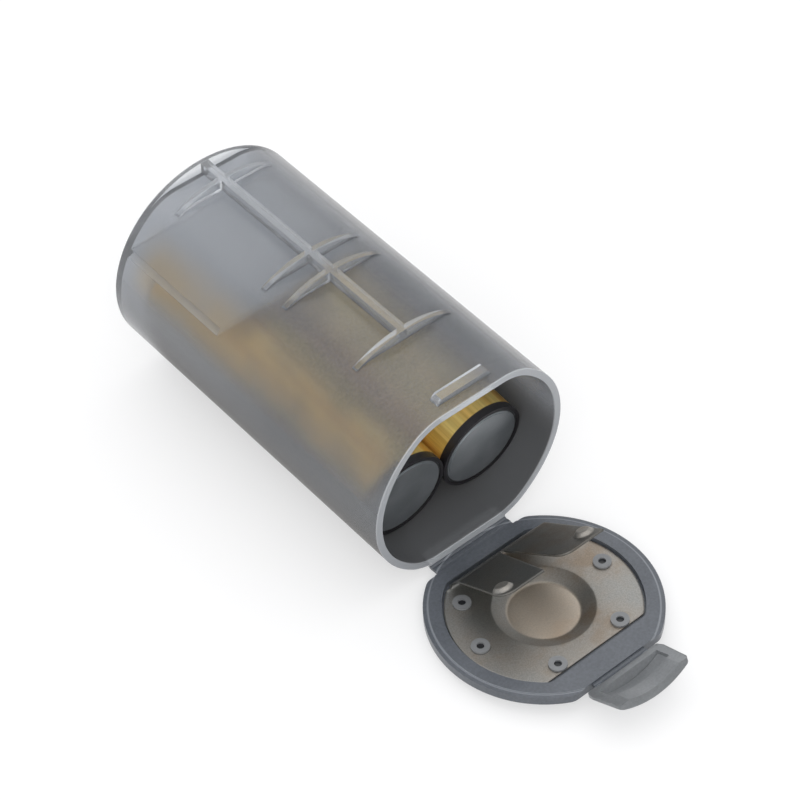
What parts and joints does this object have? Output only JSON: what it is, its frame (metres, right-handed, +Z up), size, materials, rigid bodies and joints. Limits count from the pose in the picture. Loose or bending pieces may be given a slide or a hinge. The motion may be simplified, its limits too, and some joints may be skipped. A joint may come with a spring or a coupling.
{
  "type": "battery size adapter",
  "caption": "Translucent D-size battery adapter lying open, with a flip end cap, latch tab and sprung contact, holding AA cells.",
  "frame": {"origin": "under the middle of the whole open adapter, on the ground it lies on", "axes": "+Y along the case towards its closed end, +Z up from the ground"},
  "size_m": [0.033, 0.0968, 0.033],
  "materials": {
    "case_plastic": "frosted translucent",
    "lid_plastic": "satin translucent",
    "tab_plastic": "frosted translucent",
    "contact_metal": "nickel plated, warm",
    "jacket_gold": "brushed metallic film",
    "seal_black": "matt",
    "cap_steel": "satin",
    "can_steel": "satin"
  },
  "bodies": {
    "case": {"case": "case_plastic", "positive_contact": "contact_metal", "cell_can_right": "can_steel", "cell_jacket_right": "jacket_gold", "cell_seal_right": "seal_black", "cell_negative_cap_right": "cap_steel", "cell_can_left": "can_steel", "cell_jacket_left": "jacket_gold", "cell_seal_left": "seal_black", "cell_negative_cap_left": "cap_steel"},
    "lid": {"lid": "lid_plastic", "contact_plate": "contact_metal"},
    "latch_tab": {"latch_tab": "tab_plastic"},
    "spring_arm_right": {"spring_arm_right": "contact_metal"},
    "spring_arm_left": {"spring_arm_left": "contact_metal"}
  },
  "joints": [
    {"name": "lid_hinge", "type": "hinge", "parent": "case", "child": "lid", "pos_m": [0, -0.01138, 0.00135], "axis": [-1, 0, 0], "range_deg": [0, 85.7]},
    {"name": "latch_hinge", "type": "hinge", "parent": "lid", "child": "latch_tab", "pos_m": [0, -0.04142, 0.0033], "axis": [-1, 0, 0], "range_deg": [0, 66.3]},
    {"name": "arm_flex_right", "type": "hinge", "parent": "lid", "child": "spring_arm_right", "pos_m": [0, -0.01784, 0.00555], "axis": [1, 0, 0], "range_deg": [0, 29]},
    {"name": "arm_flex_left", "type": "hinge", "parent": "lid", "child": "spring_arm_left", "pos_m": [0, -0.01784, 0.00555], "axis": [1, 0, 0], "range_deg": [0, 29]}
  ],
  "couplings": [
    {"joint": "arm_flex_right", "follows": "lid_hinge", "ratio": 0.3383},
    {"joint": "arm_flex_left", "follows": "lid_hinge", "ratio": 0.3383}
  ]
}
